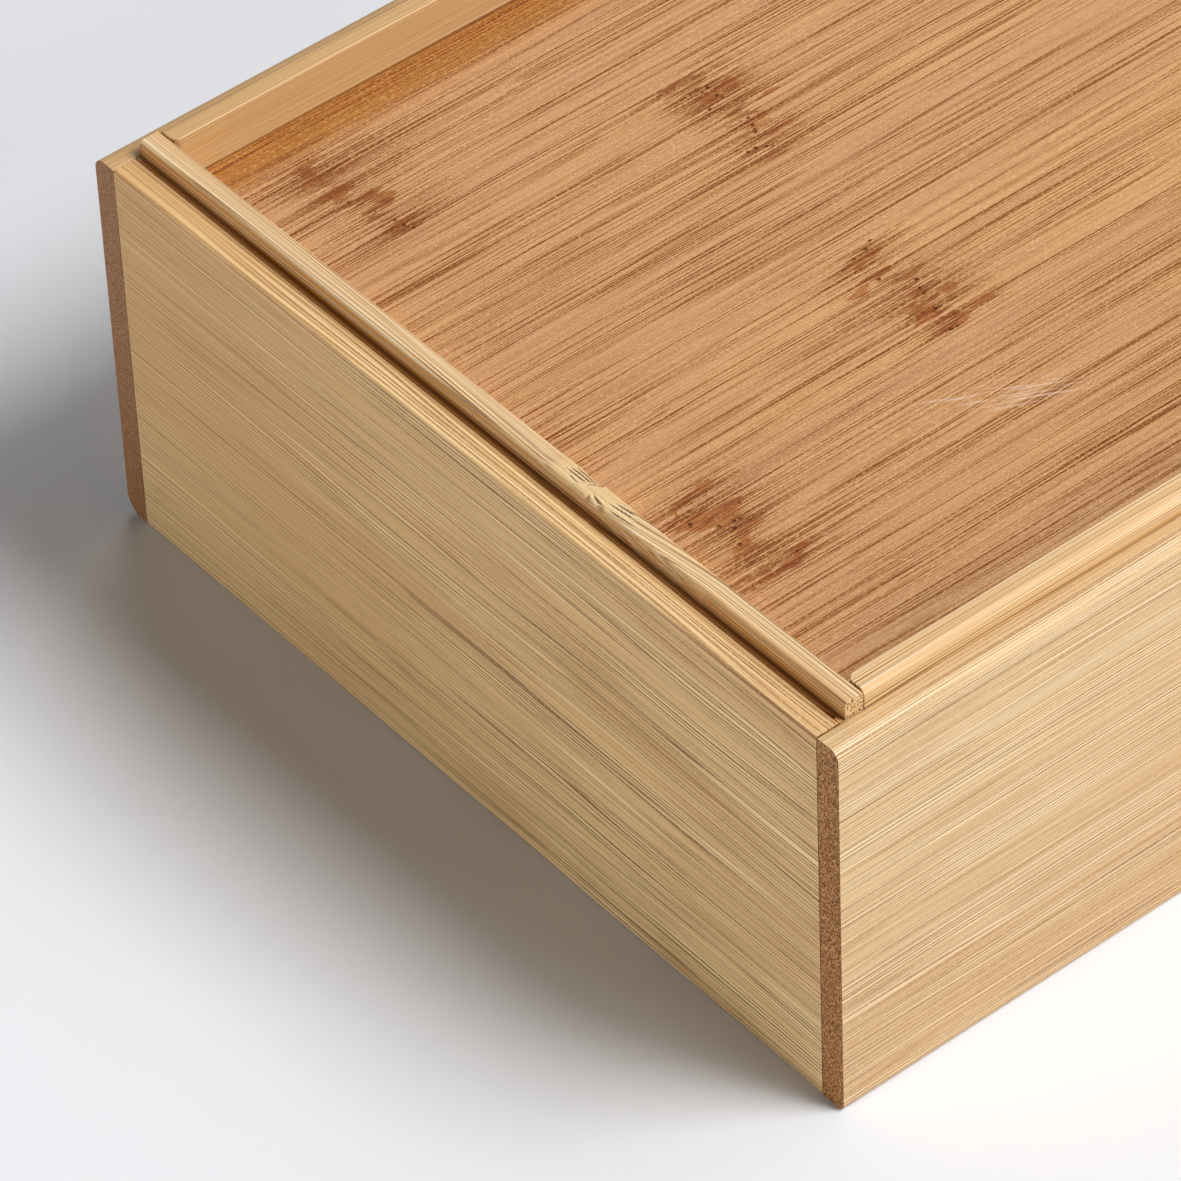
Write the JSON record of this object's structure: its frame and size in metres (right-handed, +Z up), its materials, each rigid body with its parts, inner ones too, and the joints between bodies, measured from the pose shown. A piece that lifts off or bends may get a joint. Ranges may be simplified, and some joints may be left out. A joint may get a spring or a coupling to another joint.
{
  "type": "stackable organizer box",
  "caption": "Shallow open-top rectangular box of glued bamboo boards, stored bottom up, with strips around its sunk base that locate it in the open top of the box below.",
  "frame": {"origin": "middle of the rim plane, which the box lies on bottom up", "axes": "+X along the length, +Y across the width from the front wall to the back wall, +Z up out of the base's underside"},
  "size_m": [0.23, 0.15, 0.0663],
  "materials": {
    "wall_bamboo": "natural side-pressed bamboo, sanded, thin satin lacquer",
    "panel_bamboo": "carbonised plain-pressed bamboo, satin lacquer",
    "lip_bamboo": "natural bamboo strip, machined, thin satin lacquer"
  },
  "bodies": {
    "root": {"front_wall": "wall_bamboo", "back_wall": "wall_bamboo", "left_end_wall": "wall_bamboo", "right_end_wall": "wall_bamboo", "base_panel": "panel_bamboo", "front_lip_strip": "lip_bamboo", "back_lip_strip": "lip_bamboo", "left_lip_strip": "lip_bamboo", "right_lip_strip": "lip_bamboo"}
  },
  "joints": []
}
